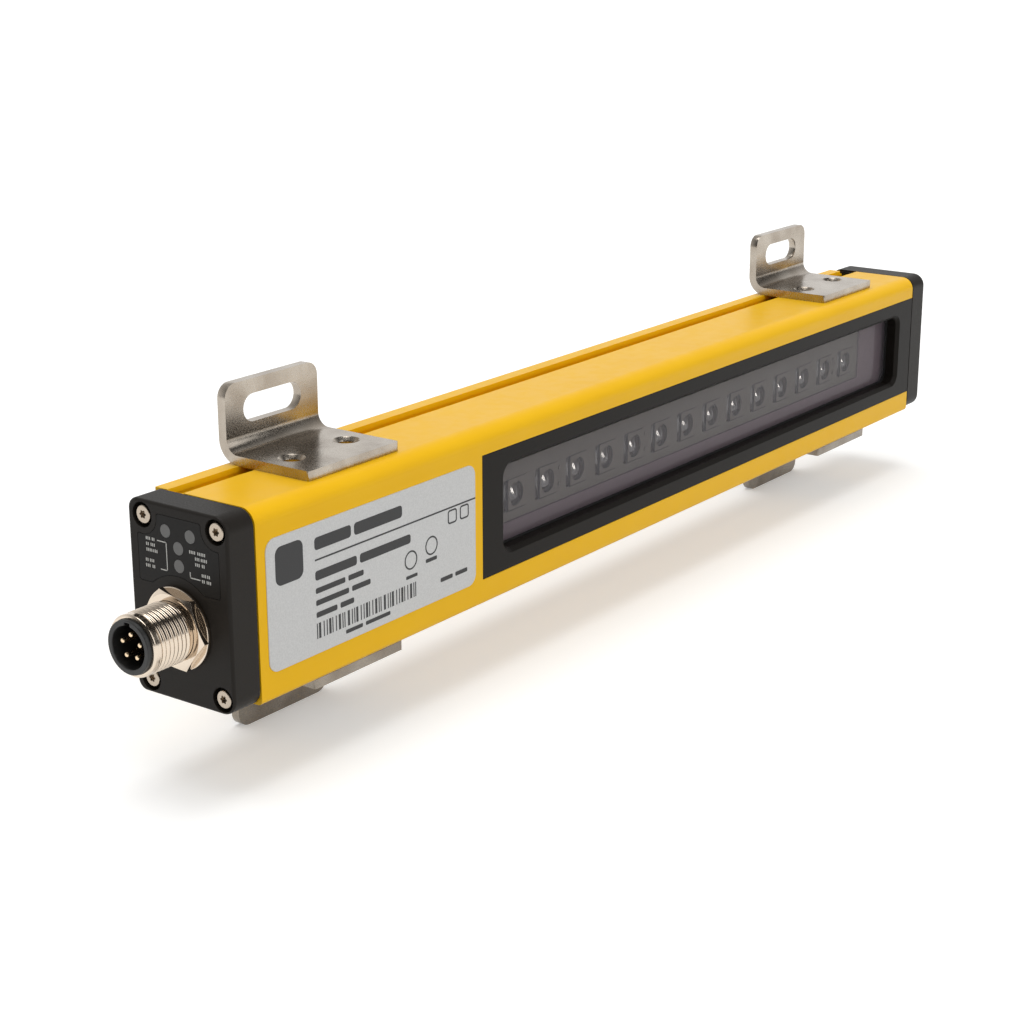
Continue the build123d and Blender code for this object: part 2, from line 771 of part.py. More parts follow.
# Brackets: folded from sheet, with a long fixing slot and two countersunk jack holes
# Runners: bars welded under the brackets that hook into the slot of the housing
for end_name, place_x in (("near", -bracket_x), ("far", bracket_x)):
    for level_name, side, seat_z in (("top", 1, top_z), ("bottom", -1, top_z + pad_thickness)):
        flange_z = seat_z + bracket_thickness
        upright_z = seat_z + bracket_height
        with BuildPart() as bracket:
            with BuildSketch(across(place_x - bracket_width / 2)):
                with BuildLine():
                    FilletPolyline(
                        (-bracket_depth, side * seat_z),
                        (0, side * seat_z),
                        (0, side * upright_z),
                        (-bracket_thickness, side * upright_z),
                        (-bracket_thickness, side * flange_z),
                        (-bracket_depth, side * flange_z),
                        radius=(0, bracket_bend, 0, 0, bracket_bend - bracket_thickness, 0),
                        close=True,
                    )
                make_face()
            extrude(amount=bracket_width)
            upright_end = bracket.faces().sort_by(Axis.Z)[-1 if side > 0 else 0]
            fillet(upright_end.edges().filter_by(Axis.Y), bracket_corner)
            nose = bracket.faces().sort_by(Axis.Y)[0]
            fillet(nose.edges().filter_by(Axis.Z), bracket_nose)
            with BuildSketch(facing(0)):
                with Locations((place_x, side * (seat_z + fixing_slot_rise))):
                    SlotOverall(fixing_slot_length, fixing_slot_width)
            extrude(amount=bracket_thickness, mode=Mode.SUBTRACT)
            for offset in (-jack_hole_spacing / 2, jack_hole_spacing / 2):
                hole_centre = (place_x + offset, jack_hole_inset - bracket_depth, side * flange_z)
                with Locations(Plane(origin=hole_centre, z_dir=(0, 0, side))):
                    CounterSinkHole(jack_hole_radius, jack_sink_radius, bracket_thickness)
        finish(bracket, f"bracket_{end_name}_{level_name}")
        with BuildPart() as runner:
            with BuildSketch(across(place_x - runner_length / 2)):
                with BuildLine():
                    Polyline(*slot_points(side, runner_gap, seat_z - top_z), close=True)
                make_face()
            extrude(amount=runner_length)
        finish(runner, f"runner_{end_name}_{level_name}")

    # Pad: rubber sheet round the neck of the lower runner, between the bracket and the housing
    with BuildPart() as bracket_pad:
        with BuildSketch(Plane.XY.offset(-top_z)):
            with Locations((place_x, back_y - pad_inset - pad_depth / 2)):
                Rectangle(bracket_width, pad_depth)
            with Locations((place_x, mouth_back - slot_mouth / 2)):
                Rectangle(runner_length + 2 * fit_gap, slot_mouth, mode=Mode.SUBTRACT)
        extrude(amount=-pad_thickness)
    finish(bracket_pad, f"pad_{end_name}_bottom")
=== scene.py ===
"""Looks of the safety light curtain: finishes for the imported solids, and the finer pieces.

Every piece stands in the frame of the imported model, in metres. X runs from the connector cap to
the blind cap, the window faces -Y and Z is up.
"""

import math

import bmesh
import bpy
from bpy.props import FloatProperty, FloatVectorProperty, IntProperty, PointerProperty
from mathutils import Matrix, Vector


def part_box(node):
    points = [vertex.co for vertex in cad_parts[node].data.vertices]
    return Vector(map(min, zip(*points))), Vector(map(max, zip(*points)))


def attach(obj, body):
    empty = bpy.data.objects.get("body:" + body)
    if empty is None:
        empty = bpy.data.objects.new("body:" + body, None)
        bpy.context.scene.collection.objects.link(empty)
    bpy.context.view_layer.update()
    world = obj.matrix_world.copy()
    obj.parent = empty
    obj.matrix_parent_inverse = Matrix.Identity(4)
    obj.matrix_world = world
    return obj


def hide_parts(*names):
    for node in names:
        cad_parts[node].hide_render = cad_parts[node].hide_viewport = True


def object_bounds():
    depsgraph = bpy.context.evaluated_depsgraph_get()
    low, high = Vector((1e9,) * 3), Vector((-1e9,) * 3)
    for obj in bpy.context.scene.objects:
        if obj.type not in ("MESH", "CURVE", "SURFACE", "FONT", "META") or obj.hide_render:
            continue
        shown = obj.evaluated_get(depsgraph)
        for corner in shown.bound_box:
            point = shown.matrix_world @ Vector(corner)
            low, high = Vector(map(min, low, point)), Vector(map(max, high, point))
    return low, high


bl_info = {
    "name": "Safety light curtain",
    "version": (1, 0, 0),
    "blender": (4, 5, 0),
    "location": "3D View > Sidebar > Light curtain",
    "description": "Finishes, thread, lenses and print of the packed light curtain",
    "category": "Object",
}

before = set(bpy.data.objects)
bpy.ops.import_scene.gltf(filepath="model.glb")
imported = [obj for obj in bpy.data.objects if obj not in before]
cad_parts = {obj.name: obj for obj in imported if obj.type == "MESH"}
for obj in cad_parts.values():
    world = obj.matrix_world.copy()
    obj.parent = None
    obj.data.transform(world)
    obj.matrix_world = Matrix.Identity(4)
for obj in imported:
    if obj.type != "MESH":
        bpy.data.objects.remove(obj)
CAD_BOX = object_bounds()
MM = 0.001

NEAR_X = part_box("connector_end_cap")[0].x
HOUSING_LOW, HOUSING_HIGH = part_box("housing")
FRONT_Y = HOUSING_LOW.y
MIDDLE_Z = (HOUSING_LOW.z + HOUSING_HIGH.z) / 2


def linear(hex_colour):
    """An sRGB hex colour as linear red, green, blue and full alpha."""
    parts = [int(hex_colour[i:i + 2], 16) / 255 for i in (1, 3, 5)]
    return (*[c / 12.92 if c <= 0.04045 else ((c + 0.055) / 1.055) ** 2.4 for c in parts], 1.0)


def shaded(colour, share):
    """The same colour, darker or lighter by a share."""
    return (*[share * c for c in colour[:3]], 1.0)


def colour_property(name, description, hex_colour):
    return FloatVectorProperty(
        name=name, description=description, subtype="COLOR", size=4, min=0, max=1,
        default=linear(hex_colour),
    )


def length_property(name, description, millimetres):
    return FloatProperty(
        name=name, description=description, unit="LENGTH", subtype="DISTANCE", min=0,
        default=millimetres * MM,
    )


# Settings


class FinishSettings(bpy.types.PropertyGroup):
    coating: colour_property("Coating", "Yellow powder coat of the housing", "#f4bf10")
    coating_deep: colour_property("Deep coating", "The same coat where it lies thicker", "#efb708")
    moulding: colour_property("Moulding", "Black moulded caps and window frame", "#1a1714")
    steel: colour_property("Steel", "Stainless steel of the brackets", "#b9b0a4")
    steel_dark: colour_property(
        "Dark steel", "Stainless steel where tumbling left it darker", "#a2978a"
    )
    nickel: colour_property("Nickel", "Nickel plating of the connector and the screws", "#dccdbb")
    gold: colour_property("Gold", "Gold plating of the contact pins", "#ecd3b0")
    plate: colour_property("Name plate", "Silver film of the name plate", "#cdcdcc")
    film: colour_property("Status film", "Printed film of the status panel", "#1b1917")
    pane: colour_property("Pane", "Smoked acrylic of the window", "#605c61")
    pane_opacity: FloatProperty(
        name="Pane opacity", description="Share of light that one face of the pane keeps back",
        subtype="FACTOR", min=0, max=1, default=0.34,
    )


class ConnectorSettings(bpy.types.PropertyGroup):
    shank_radius: length_property(
        "Shank radius", "Radius of the plain part under the nut and in the cap", 5.7
    )
    plain: length_property("Plain part", "How far the plain part stands out of the cap", 2.9)
    drop: length_property("Drop", "From the middle of the bar down to the connector's axis", 4.1)
    inset: length_property("Inset", "From the front of the bar to the connector's axis", 13.0)
    reach: length_property("Reach", "How far the thread stands out of the cap", 12.1)
    thread_radius: length_property("Thread radius", "Outer radius of the thread", 6.0)
    thread_depth: length_property("Thread depth", "Height of the thread's ridge", 0.32)
    collar: length_property("Collar", "Plain collar at the tip, before the first turn", 1.3)
    thread_pitch: length_property("Thread pitch", "From one turn to the next", 1.0)
    bore: length_property("Bore", "Inner radius of the shell", 5.3)
    wall: length_property("Wall", "Thickness of the cap's face, which the shell passes", 2.4)
    flange_radius: length_property("Flange radius", "Radius of the flange inside the cap", 7.8)
    flange_thickness: length_property(
        "Flange thickness", "Thickness of the flange inside the cap", 2.0
    )
    groove_low: length_property(
        "Groove inner radius", "Inner radius of the o-ring's groove", 6.35
    )
    groove_high: length_property(
        "Groove outer radius", "Outer radius of the o-ring's groove", 7.35
    )
    groove_depth: length_property("Groove depth", "Depth of the o-ring's groove", 0.9)
    segments: IntProperty(
        name="Segments", description="Steps round one turn", min=24, max=256, default=96
    )
    steps: IntProperty(
        name="Steps", description="Steps along one pitch", min=6, max=32, default=10
    )


class OpticsSettings(bpy.types.PropertyGroup):
    pitch: length_property("Beam pitch", "From one beam to the next", 11.73)
    cell: length_property("Cell", "Side of the square cell that a lens stands in", 6.7)
    foot_corner: length_property("Foot corner", "Corner radius of the foot", 0.6)
    foot_height: length_property("Foot height", "Thickness of the foot", 0.5)
    dome_shift: length_property(
        "Dome shift", "From the middle of the cell to the middle of the dome", 0.9
    )
    dome_radius: length_property("Dome radius", "Radius of the round lens on its foot", 2.3)
    dome_height: length_property(
        "Dome height", "How far the round lens stands out of its foot", 1.0
    )
    apex_drop: length_property(
        "Apex drop", "From the middle of the dome down to its highest point", 0.8
    )
    cover_face: length_property(
        "Cover face", "From the floor of the cell to the face of its cover plate", 1.4
    )
    # The dark clip, band and lines round a lens are painted shade, dark marks where the cell only
    # lies in shadow
    shade_arc_width: length_property("Rim width", "Width of the dark clip round the lens", 0.35)
    shade_mark_height: length_property(
        "Rim height", "How far the dark clip stands out of the cover plate", 0.04
    )
    line_width: length_property(
        "Line width", "Width of the dark lines above and below a lens", 0.16
    )
    shade_width: length_property("Shade width", "Width of the dark band beside a lens", 0.85)


class PrintSettings(bpy.types.PropertyGroup):
    ink_height: length_property("Ink height", "How far the ink stands out of its film", 0.02)
    plate_corner: length_property("Plate corner", "Corner radius of the name plate", 2.4)
    plate_edge: length_property("Plate edge", "Rounding of the name plate's edge", 0.06)
    ink: colour_property("Ink", "Black ink on the name plate", "#2a2a2b")
    status_ink: colour_property("Status ink", "White ink on the status panel", "#d9d8d3")


class StageSettings(bpy.types.PropertyGroup):
    camera_place: FloatVectorProperty(
        name="Camera", description="Where the camera stands", subtype="TRANSLATION",
        unit="LENGTH", size=3, default=(-389.96 * MM, -271.40 * MM, 129.30 * MM),
    )
    camera_heading: FloatProperty(
        name="Heading", description="Turn of the camera from +Y towards +X", subtype="ANGLE",
        default=math.radians(53.756),
    )
    camera_tilt: FloatProperty(
        name="Tilt", description="How far the camera looks down", subtype="ANGLE",
        default=math.radians(17.383),
    )
    camera_roll: FloatProperty(
        name="Roll", description="Turn of the camera about its own axis", subtype="ANGLE",
        default=math.radians(-0.13),
    )
    focal_length: FloatProperty(
        name="Focal length", description="In millimetres on a 36 mm sensor", min=10, max=300,
        default=72.12,
    )
    floor_size: length_property("Floor size", "Side of the square floor", 12000)
    sky_level: FloatProperty(
        name="Sky level", description="Light of the surroundings on the object", min=0, max=2,
        default=0.50,
    )
    overhead_strength: FloatProperty(
        name="Overhead light", description="Strength of the wide soft light above", min=0,
        default=1.25,
    )
    fill_strength: FloatProperty(
        name="Front fill", description="Strength of the wide soft light in front", min=0,
        default=1.0,
    )
    overhead_width: FloatProperty(
        name="Overhead width", description="How wide the light above looks", subtype="ANGLE",
        default=math.radians(42),
    )
    fill_width: FloatProperty(
        name="Fill width", description="How wide the light in front looks", subtype="ANGLE",
        default=math.radians(60),
    )
    lens_lamp_power: FloatProperty(
        name="Lens lamp", description="Power of the tall lamp that glints in the lenses",
        subtype="POWER", min=0, default=16,
    )
    floor_lift: FloatProperty(
        name="Floor lift", description="Glow that brings the open floor to white", min=0, max=1,
        default=0.26,
    )
    floor_bounce: FloatProperty(
        name="Floor bounce", description="How much light the floor gives back to the object",
        min=0, max=1, default=0.55,
    )


# Nodes and materials

PLAIN_DETAIL, FINE_DETAIL = 2.0, 3.0  # octaves of a noise
NOISE_MIDDLE = {"From Min": 0.35, "From Max": 0.65}  # where most values of a noise lie
BAND_LENGTH = 0.314  # from one band of a wave texture to the next, at scale 1


def add_node(tree, kind, settings=None, inputs=None):
    """Adds a node. Settings are its own properties; inputs are values, or sockets to link from."""
    node = tree.nodes.new(kind)
    for key, value in (settings or {}).items():
        setattr(node, key, value)
    for key, value in (inputs or {}).items():
        if isinstance(value, bpy.types.NodeSocket):
            tree.links.new(value, node.inputs[key])
        else:
            node.inputs[key].default_value = value
    return node


def new_material(name):
    """A material and its empty node tree."""
    made = bpy.data.materials.new(name)
    made.use_nodes = True
    made.node_tree.nodes.clear()
    return made, made.node_tree


def surface(name, colours, roughness, grain, relief=None, detail=PLAIN_DETAIL, tone_grain=None,
            gloss_grain=None, stretched=False, bands=None, fixed=None):
    """A material that follows noise whose patches are about as wide as the real grain.

    Lengths are in millimetres. colours is one colour, or two that the noise runs between, over its
    full contrast if stretched. roughness is its two ends. relief is the real depth of the grain and
    the share of it that is drawn. tone_grain and gloss_grain are grains of their own for colour and
    roughness. bands is the pitch of straight bands that take the place of the noise in colour and
    relief. fixed goes to the shader's own sockets.
    """
    made, tree = new_material(name)
    place = add_node(tree, "ShaderNodeTexCoord").outputs["Object"]
    grains = {"gloss": gloss_grain}
    if len(colours) == 2:
        grains["tone"] = tone_grain
    if relief:
        grains["height"] = None
    noises, patterns = {}, {}
    for use, own in grains.items():
        width, octaves = (own, PLAIN_DETAIL) if own else (grain, detail)
        if (width, octaves) not in noises:
            noises[width, octaves] = add_node(
                tree, "ShaderNodeTexNoise",
                inputs={"Vector": place, "Scale": 1 / (width * MM), "Detail": octaves},
            )
        patterns[use] = noises[width, octaves].outputs["Fac"]
    if bands:
        patterns["tone"] = patterns["height"] = add_node(
            tree, "ShaderNodeTexWave", {"wave_type": "BANDS", "bands_direction": "Z"},
            {"Vector": place, "Scale": BAND_LENGTH / (bands * MM)},
        ).outputs["Fac"]
    inputs = {"Base Color": tuple(colours[0]), **(fixed or {})}
    if len(colours) == 2:
        factor = patterns["tone"]
        if stretched:
            factor = add_node(
                tree, "ShaderNodeMapRange", inputs={"Value": factor, **NOISE_MIDDLE}
            ).outputs["Result"]
        inputs["Base Color"] = add_node(
            tree, "ShaderNodeMix", {"data_type": "RGBA"},
            {0: factor, 6: tuple(colours[0]), 7: tuple(colours[1])},
        ).outputs[2]
    low, high = roughness
    inputs["Roughness"] = add_node(
        tree, "ShaderNodeMapRange",
        inputs={"Value": patterns["gloss"], **NOISE_MIDDLE, "To Min": low, "To Max": high},
    ).outputs["Result"]
    if relief:
        depth, share = relief
        inputs["Normal"] = add_node(
            tree, "ShaderNodeBump",
            inputs={"Height": patterns["height"], "Strength": share, "Distance": depth * MM},
        ).outputs["Normal"]
    shader = add_node(tree, "ShaderNodeBsdfPrincipled", inputs=inputs)
    add_node(tree, "ShaderNodeOutputMaterial", inputs={"Surface": shader.outputs[0]})
    return made


def powder_coated_aluminium(finish):
    """Polyester powder coat, sprayed and baked: an even satin yellow with a faint orange peel."""
    return surface(
        "Powder-coated aluminium", (finish.coating, finish.coating_deep),
        roughness=(0.34, 0.41), grain=1.1, relief=(0.012, 0.5), tone_grain=14, gloss_grain=3,
        fixed={"IOR": 1.5, "Specular IOR Level": 0.2},
    )


def moulded_nylon(finish, name, roughness, grain, shade, gloss):
    """Glass-filled nylon from a spark-eroded mould: charcoal black, matt, with a fine grain."""
    return surface(
        name, (shaded(finish.moulding, shade), shaded(finish.moulding, 1.25 * shade)),
        roughness=(roughness - 0.04, roughness + 0.05), grain=grain, relief=(0.02, 0.6),
        fixed={"IOR": 1.53, "Specular IOR Level": gloss},
    )


def nitrile_rubber():
    """Cut nitrile sheet: deep black and dull, with a talc-fine grain."""
    return surface(
        "Nitrile rubber", [linear("#141414")], roughness=(0.7, 0.85), grain=0.4,
        relief=(0.01, 0.5), fixed={"IOR": 1.52},
    )


def tumbled_stainless(name, light, dark):
    """Stainless sheet, punched, folded and tumbled: warm grey, cloudy, with a fine scratched grain.

    The real grain is under a tenth of a millimetre and is drawn at a third of one so that it shows.
    """
    return surface(
        name, (light, dark), roughness=(0.20, 0.30), grain=0.33, detail=FINE_DETAIL,
        relief=(0.008, 0.6), tone_grain=7, stretched=True, fixed={"Metallic": 1.0},
    )


def nickel_plate(finish, name, roughness, shade=1.0):
    """Bright nickel on turned brass: a warm mirror, a little dulled by turning marks.

    The real marks are finer and are drawn at a quarter of a millimetre so that they show.
    """
    return surface(
        name, [shaded(finish.nickel, shade)], roughness=(roughness - 0.03, roughness + 0.03),
        grain=0.25, relief=(0.001, 0.3), fixed={"Metallic": 1.0},
    )


def gold_plate(finish):
    """Hard gold flash on the contact pins: pale yellow and glossy."""
    return surface(
        "Gold plate", [finish.gold], roughness=(0.18, 0.28), grain=0.2, fixed={"Metallic": 1.0}
    )


def smoked_acrylic(finish):
    """Cast acrylic sheet, tinted: a grey haze that lets most of the light through each face."""
    return surface(
        "Smoked acrylic", [finish.pane], roughness=(0.04, 0.07), grain=5,
        fixed={"IOR": 1.49, "Specular IOR Level": 0.3, "Alpha": finish.pane_opacity},
    )


def coated_lens():
    """Moulded polycarbonate lens with a filter and a hard coat: a grey, wet-looking gloss.

    The IOR is that of the filter, which reflects more than the plastic under it.
    """
    return surface(
        "Coated lens", [linear("#8a8480")], roughness=(0.06, 0.10), grain=1,
        fixed={"IOR": 1.9, "Specular IOR Level": 0.8, "Coat Weight": 1.0, "Coat IOR": 1.8,
               "Coat Roughness": 0.04},
    )


def matt_finish(name, hex_colour, roughness, grain):
    """Plain plastic, resin or ink, moulded or printed: one quiet colour with a fine even grain."""
    colour = linear(hex_colour)
    return surface(
        name, (colour, shaded(colour, 0.88)), roughness=(roughness - 0.05, roughness + 0.05),
        grain=grain, relief=(0.008, 0.5), fixed={"IOR": 1.54},
    )


def solder_mask():
    """Laminate board under matt solder mask: violet grey, with faint copper tracks."""
    return surface(
        "Solder mask", (linear("#8d7b86"), linear("#84727d")), roughness=(0.4, 0.5), grain=0.6,
        relief=(0.02, 0.3), bands=1.0, fixed={"IOR": 1.5},
    )


def silver_film(finish):
    """Polyester label film with a silver back: pale grey, satin, with a fine sparkle.

    The real sparkle is finer and is drawn at a third of a millimetre so that it shows.
    """
    return surface(
        "Silver label film", (finish.plate, shaded(finish.plate, 0.90)), roughness=(0.38, 0.5),
        grain=0.35, detail=FINE_DETAIL, relief=(0.005, 0.4), stretched=True,
        fixed={"Metallic": 0.15, "IOR": 1.6},
    )


def printed_film(finish):
    """Polyester film printed black on its back: an even satin sheet over the status lights."""
    return surface(
        "Printed film", [finish.film], roughness=(0.36, 0.46), grain=0.3, relief=(0.006, 0.4),
        fixed={"IOR": 1.6, "Specular IOR Level": 0.12},
    )


def screen_ink(name, colour):
    """Screen-printed ink: a flat layer with thinner, slightly chalky spots."""
    worn = (*[0.9 * c + 0.01 for c in colour[:3]], 1.0)
    return surface(
        name, (colour, worn), roughness=(0.5, 0.6), grain=0.15, fixed={"IOR": 1.5}
    )


# Pieces


def dress(material, *nodes):
    """Gives CAD nodes one material."""
    for node in nodes:
        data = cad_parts[node].data
        data.materials.clear()
        data.materials.append(material)


def soften(width_mm, *nodes):
    """Rounds the sharp edges of CAD nodes, without touching their meshes."""
    for node in nodes:
        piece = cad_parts[node]
        weld = piece.modifiers.new("Weld", "WELD")
        weld.merge_threshold = 0.001 * MM
        bevel = piece.modifiers.new("Soft edges", "BEVEL")
        bevel.width = width_mm * MM
        bevel.segments = 3
        bevel.limit_method = "ANGLE"
        bevel.angle_limit = math.radians(30)
        bevel.use_clamp_overlap = True
        bevel.miter_outer = "MITER_ARC"


def add_mesh(name, shape, material):
    """Makes an object of a bmesh, with its material."""
    mesh = bpy.data.meshes.new(name)
    shape.to_mesh(mesh)
    shape.free()
    mesh.materials.append(material)
    made = bpy.data.objects.new(name, mesh)
    bpy.context.scene.collection.objects.link(made)
    return made


def add_piece(name, shape, material, slot, *replaced, smooth_angle=None):
    """Adds a piece with its body and hides the nodes that it replaces; its record slot is not used.
    """
    bmesh.ops.recalc_face_normals(shape, faces=shape.faces)
    piece = add_mesh(name, shape, material)
    if smooth_angle is not None:
        mesh = piece.data
        mesh.polygons.foreach_set("use_smooth", [True] * len(mesh.polygons))
        mesh.set_sharp_from_angle(angle=math.radians(smooth_angle))
    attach(piece, "root")
    if replaced:
        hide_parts(*replaced)
    return piece


class Sheet:
    """A flat face to print on: u to the right and v up, seen from outside, in millimetres."""

    def __init__(self, origin, right, up):
        self.origin, self.right, self.up = Vector(origin), Vector(right), Vector(up)
        self.out = self.right.cross(self.up)

    def at(self, u, v, lift):
        return self.origin + (self.right * u + self.up * v + self.out * lift) * MM


def arc(centre, radius, start, end, steps=8):
    """Points along an arc, from start to end in degrees."""
    angles = [math.radians(start + (end - start) * i / steps) for i in range(steps + 1)]
    return [(centre[0] + radius * math.cos(a), centre[1] + radius * math.sin(a)) for a in angles]


def circle(centre, radius, steps=32):
    """Points round a circle."""
    return arc(centre, radius, 0, 360 - 360 / steps, steps - 1)


def rectangle(u, v, width, height):
    """Outline of a rectangle with its lower left corner at u, v."""
    return [(u, v), (u + width, v), (u + width, v + height), (u, v + height)]


def rounded(u, v, width, height, radius):
    """Outline of a rounded rectangle with its lower left corner at u, v."""
    left, right, low, high = u + radius, u + width - radius, v + radius, v + height - radius
    return (
        arc((right, low), radius, -90, 0) + arc((right, high), radius, 0, 90)
        + arc((left, high), radius, 90, 180) + arc((left, low), radius, 180, 270)
    )


def bridge(shape, first, second):
    """Joins two closed rings of vertices with faces."""
    for i in range(len(first)):
        j = (i + 1) % len(first)
        shape.faces.new((first[i], first[j], second[j], second[i]))


def outline_ring(shape, sheet, outline, lift):
    """The vertices of an outline at a height above its sheet."""
    return [shape.verts.new(sheet.at(u, v, lift)) for u, v in outline]


def prism(shape, sheet, outline, base, height):
    """Adds a closed prism over an outline on a sheet."""
    low = outline_ring(shape, sheet, outline, base)
    high = outline_ring(shape, sheet, outline, base + height)
    shape.faces.new(low)
    shape.faces.new(high)
    bridge(shape, low, high)


def band(shape, sheet, inner, outer, base, height):
    """Adds a closed band between two outlines with the same number of points."""
    top = base + height
    corners = (inner, base), (outer, base), (outer, top), (inner, top)
    rings = [outline_ring(shape, sheet, outline, lift) for outline, lift in corners]
    for ring, after in zip(rings, rings[1:] + rings[:1]):
        bridge(shape, ring, after)


def word_row(shape, sheet, u, v, height, words, ink, gap=0.9):
    """A row of plain rounded bars, one for each word length."""
    for length in words:
        prism(shape, sheet, rounded(u, v, length, height, 0.3 * height), 0, ink)
        u += length + gap


def tick_row(shape, sheet, u, v, height, words, ink, pitch=0.42, share=0.55, gap=0.25):
    """A row of plain upright ticks, in groups of these lengths."""
    for length in words:
        for k in range(max(1, round(length / pitch))):
            prism(shape, sheet, rectangle(u + k * pitch, v, share * pitch, height), 0, ink)
        u += length + gap


class HousingOperator(bpy.types.Operator):
    """Coat the housing and finish its flat seals"""

    bl_idname = "light_curtain.housing"
    bl_label = "Housing"

    def execute(self, context):
        dress(powder_coated_aluminium(context.scene.light_curtain_finish), "housing")
        dress(nitrile_rubber(), "near_cap_seal", "far_cap_seal")
        return {"FINISHED"}


class CapsOperator(bpy.types.Operator):
    """Finish the two end caps and their screws"""

    bl_idname = "light_curtain.caps"
    bl_label = "End caps"

    def execute(self, context):
        finish = context.scene.light_curtain_finish
        nylon = moulded_nylon(
            finish, "Glass-filled nylon", roughness=0.44, grain=0.35, shade=1.5, gloss=0.14
        )
        dress(nylon, "connector_end_cap", "blind_end_cap")
        # Painted shade: the screws' nickel is drawn at 0.66 of the connector's, a darker copy of
        # the same plating
        plated = nickel_plate(finish, "Nickel-plated screw", roughness=0.26, shade=0.66)
        dress(plated, "near_cap_screws", "far_cap_screws")
        return {"FINISHED"}


class WindowOperator(bpy.types.Operator):
    """Finish the window's frame, seal, smoked pane and mask"""

    bl_idname = "light_curtain.window"
    bl_label = "Window"

    def execute(self, context):
        finish = context.scene.light_curtain_finish
        nylon = moulded_nylon(
            finish, "Moulded window frame", roughness=0.40, grain=0.30, shade=1.0, gloss=0.09
        )
        dress(nylon, "window_bezel")
        dress(nitrile_rubber(), "window_seal")
        dress(smoked_acrylic(finish), "window_pane")
        # Screen ink on the back of the pane, seen through it as an even lavender grey
        dress(matt_finish("Mask ink", "#a49098", roughness=0.5, grain=0.4), "window_mask")
        return {"FINISHED"}


class OpticsOperator(bpy.types.Operator):
    """Build the row of lenses and finish what lies behind the window"""

    bl_idname = "light_curtain.optics"
    bl_label = "Beam optics"

    # In millimetres and degrees
    CARRIER_FACE = 1.31  # just in front of the carrier, from the floor of a cell
    COVER_MARGIN = 0.25  # how far the cover plate reaches past the cell
    WELL_GAP = 0.05  # between the dome and the hole in its cover plate
    # Where the arc of painted shade runs round the dome, in degrees, and in how many steps
    CLIP_START, CLIP_END, CLIP_STEPS = -125, 75, 20
    PLATE_STEP = 5
    DOME_STEPS, DOME_RINGS = 32, 12
    DOME_FULLNESS = 1.6  # power of the dome's curve, where 2 is a parabola

    def execute(self, context):
        optics = context.scene.light_curtain_optics
        low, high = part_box("collimating_lenses")
        count = 1 + round((high.x - low.x - optics.cell) / optics.pitch)
        lenses, covers, shade_marks = bmesh.new(), bmesh.new(), bmesh.new()
        for i in range(count):
            centre_x = low.x + optics.cell / 2 + i * optics.pitch
            sheet = Sheet((centre_x, high.y, (low.z + high.z) / 2), (1, 0, 0), (0, 0, 1))
            self.add_lens(lenses, sheet, optics)
            self.add_cover(covers, shade_marks, sheet, optics)
        add_piece("lens_array", lenses, coated_lens(), "clear_lens", "collimating_lenses",
                  smooth_angle=25)
        # Moulded with a light etch: a satin grey round each lens
        grey = matt_finish("Grey polycarbonate", "#9c9488", roughness=0.5, grain=0.4)
        add_piece("lens_covers", covers, grey, "grey_moulding")
        # Painted shade: black, dull marks beside each lens's gloss, where the cell's gap and the
        # dome's edge lie in shadow
        dark = matt_finish("Painted lens shade", "#161616", roughness=0.5, grain=0.3)
        add_piece("lens_shade_marks", shade_marks, dark, "component_black")
        dress(grey, "lens_carrier")
        dress(solder_mask(), "main_board", "status_board")
        # Pressed from filled epoxy: black and flat, with a trace of speckle
        chips = matt_finish("Epoxy package", "#202020", roughness=0.55, grain=0.2)
        dress(chips, "beam_diodes", "driver_chips", "processor_chip", "board_capacitors",
              "board_header", "status_diodes")
        return {"FINISHED"}

    def add_lens(self, shape, sheet, optics):
        """A square foot and a round dome, whose highest point lies below its middle."""
        cell, foot = optics.cell / MM, optics.foot_height / MM
        corner = optics.foot_corner / MM
        prism(shape, sheet, rounded(-cell / 2, -cell / 2, cell, cell, corner), 0, foot)
        shift, radius = optics.dome_shift / MM, optics.dome_radius / MM
        peak, drop = optics.dome_height / MM, optics.apex_drop / MM
        before = None
        for k in range(self.DOME_RINGS):
            share = 1 - k / self.DOME_RINGS
            level = circle((shift, -drop * (1 - share)), radius * share, self.DOME_STEPS)
            lift = foot + peak * (1 - share**self.DOME_FULLNESS)
            ring = outline_ring(shape, sheet, level, lift)
            if before is None:
                shape.faces.new(ring)
            else:
                bridge(shape, before, ring)
            before = ring
        top = shape.verts.new(sheet.at(shift, -drop, foot + peak))
        for vertex, after in zip(before, before[1:] + before[:1]):
            shape.faces.new((vertex, after, top))

    def add_cover(self, covers, shade_marks, sheet, optics):
        """A square cover plate with a round hole, and dark marks of painted shade: an arc round the
        dome, a band beside it and lines above and below.
        """
        shift, face = optics.dome_shift / MM, optics.cover_face / MM
        side = optics.cell / MM / 2 + self.COVER_MARGIN
        well = optics.dome_radius / MM + self.WELL_GAP
        angles = [math.radians(a) for a in range(0, 360, self.PLATE_STEP)]
        reach = [side / max(abs(math.cos(a)), abs(math.sin(a))) for a in angles]
        plate = [(shift + r * math.cos(a), r * math.sin(a)) for a, r in zip(angles, reach)]
        hole = [(shift + well * math.cos(a), well * math.sin(a)) for a in angles]
        band(covers, sheet, hole, plate, self.CARRIER_FACE, face - self.CARRIER_FACE)
        # The arc, band and lines are dark marks of painted shade
        centre, edge = (shift, 0), well + optics.shade_arc_width / MM
        shade_arc = arc(centre, edge, self.CLIP_START, self.CLIP_END, self.CLIP_STEPS)
        shade_arc += arc(centre, well, self.CLIP_END, self.CLIP_START, self.CLIP_STEPS)
        thin, shade, left = optics.line_width / MM, optics.shade_width / MM, shift - side
        for outline in (
            shade_arc,
            rectangle(left, -side, shade, 2 * side),
            rectangle(left + shade, -side, 2 * side - shade, thin),
            rectangle(left + shade, side - thin, 2 * side - shade, thin),
        ):
            prism(shade_marks, sheet, outline, face, optics.shade_mark_height / MM)


